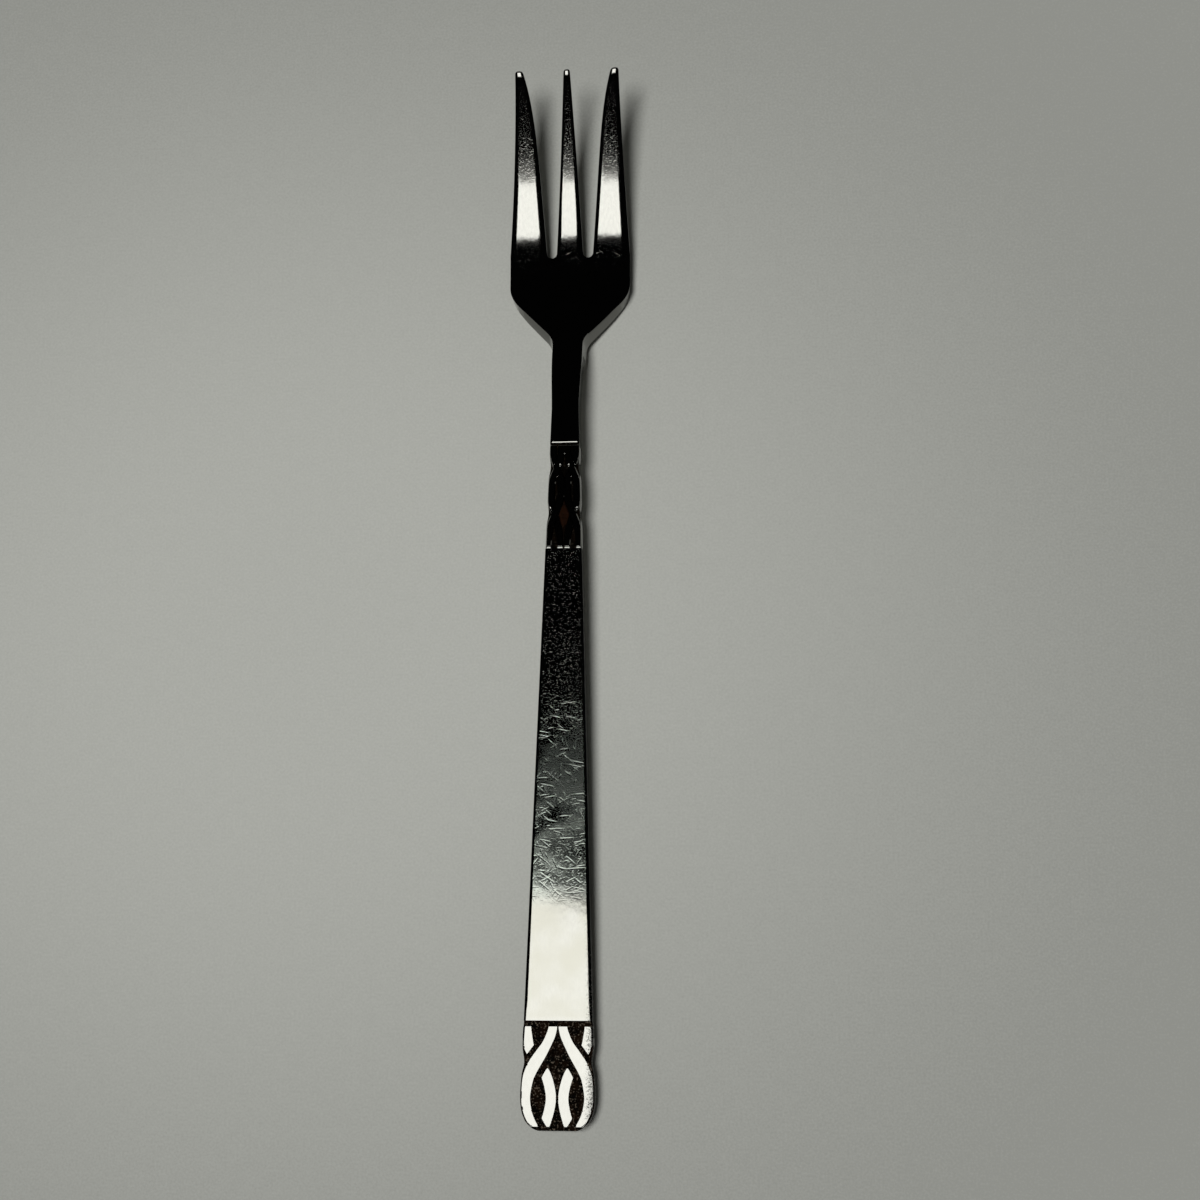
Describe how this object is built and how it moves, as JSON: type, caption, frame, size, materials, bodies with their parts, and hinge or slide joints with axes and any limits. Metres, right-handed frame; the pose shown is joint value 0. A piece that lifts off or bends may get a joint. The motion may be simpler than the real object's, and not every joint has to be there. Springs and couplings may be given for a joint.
{
  "type": "oyster fork",
  "caption": "Small steel seafood fork with slim upturned tines, a flat tapered handle and dark-filled braided panels struck into the neck and the handle end.",
  "frame": {"origin": "middle of the length and width, on the plane that the fork rests on", "axes": "+Y along the handle towards the tine tips, +Z out of the fork's face, +X across"},
  "size_m": [0.0176, 0.152, 0.0091],
  "materials": {
    "steel": "polished, worn to fine scratches",
    "enamel": "dark brown-black fill, stippled"
  },
  "bodies": {
    "root": {"steel_fork": "steel", "end_panel_enamel": "enamel", "neck_panel_enamel": "enamel"}
  },
  "joints": []
}
